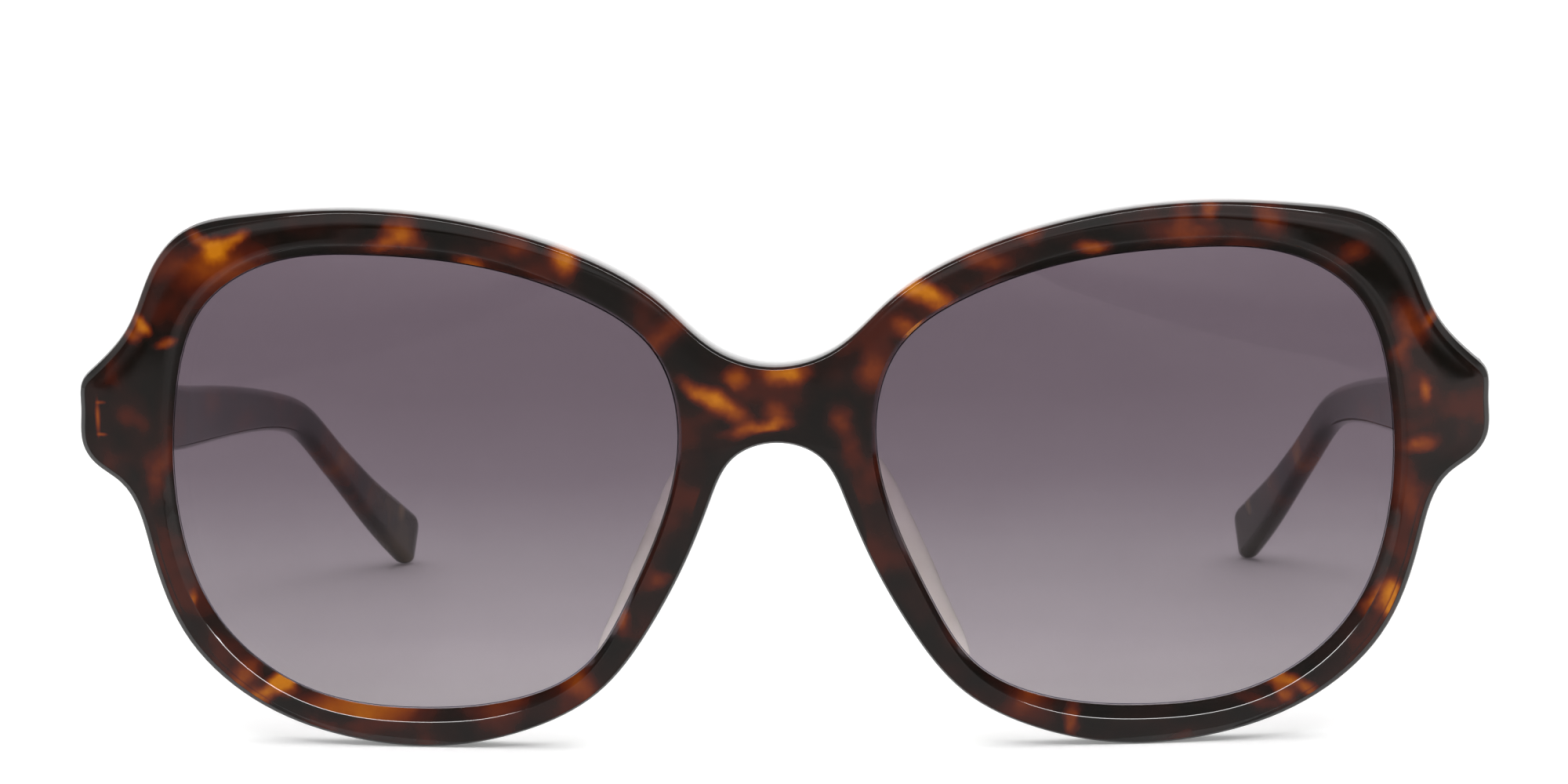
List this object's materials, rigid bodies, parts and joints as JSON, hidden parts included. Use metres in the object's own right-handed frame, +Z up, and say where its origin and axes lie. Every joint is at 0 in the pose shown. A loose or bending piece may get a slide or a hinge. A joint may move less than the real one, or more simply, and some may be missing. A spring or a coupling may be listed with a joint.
{
  "type": "sunglasses",
  "caption": "Pair of thick acetate sunglasses with large rounded-square tinted lenses, an upswept brow, moulded nose pads and folding temples that bend down behind the ear.",
  "frame": {"origin": "bottom centre of the bounding box: on the ground plane that the rims and the temple tips rest on, midway between the temples and midway from the front to the temple tips", "axes": "+Z up, +Y from the front towards the temple tips, +X towards the wearer's left"},
  "size_m": [0.1434, 0.155, 0.0549],
  "materials": {
    "tortoise_acetate": "polished",
    "violet_grey_lens": "gradient tint",
    "clear_acetate": "polished, translucent",
    "hinge_metal": "plated",
    "screw_steel": "turned",
    "core_wire": "drawn"
  },
  "bodies": {
    "front": {"front_frame": "tortoise_acetate", "lens_left": "violet_grey_lens", "lens_right": "violet_grey_lens", "nose_pad_left": "clear_acetate", "nose_pad_right": "clear_acetate", "front_hinge_left": "hinge_metal", "front_hinge_right": "hinge_metal", "hinge_screw_left": "screw_steel", "hinge_screw_right": "screw_steel"},
    "left_temple": {"temple_left": "tortoise_acetate", "temple_hinge_left": "hinge_metal", "core_wire_left": "core_wire"},
    "right_temple": {"temple_right": "tortoise_acetate", "temple_hinge_right": "hinge_metal", "core_wire_right": "core_wire"}
  },
  "joints": [
    {"name": "left_temple_fold", "type": "hinge", "parent": "front", "child": "left_temple", "pos_m": [0.066, -0.06065, 0.0335], "axis": [0, 0, 1], "range_deg": [0, 86]},
    {"name": "right_temple_fold", "type": "hinge", "parent": "front", "child": "right_temple", "pos_m": [-0.066, -0.06065, 0.0335], "axis": [0, 0, -1], "range_deg": [0, 78]}
  ]
}
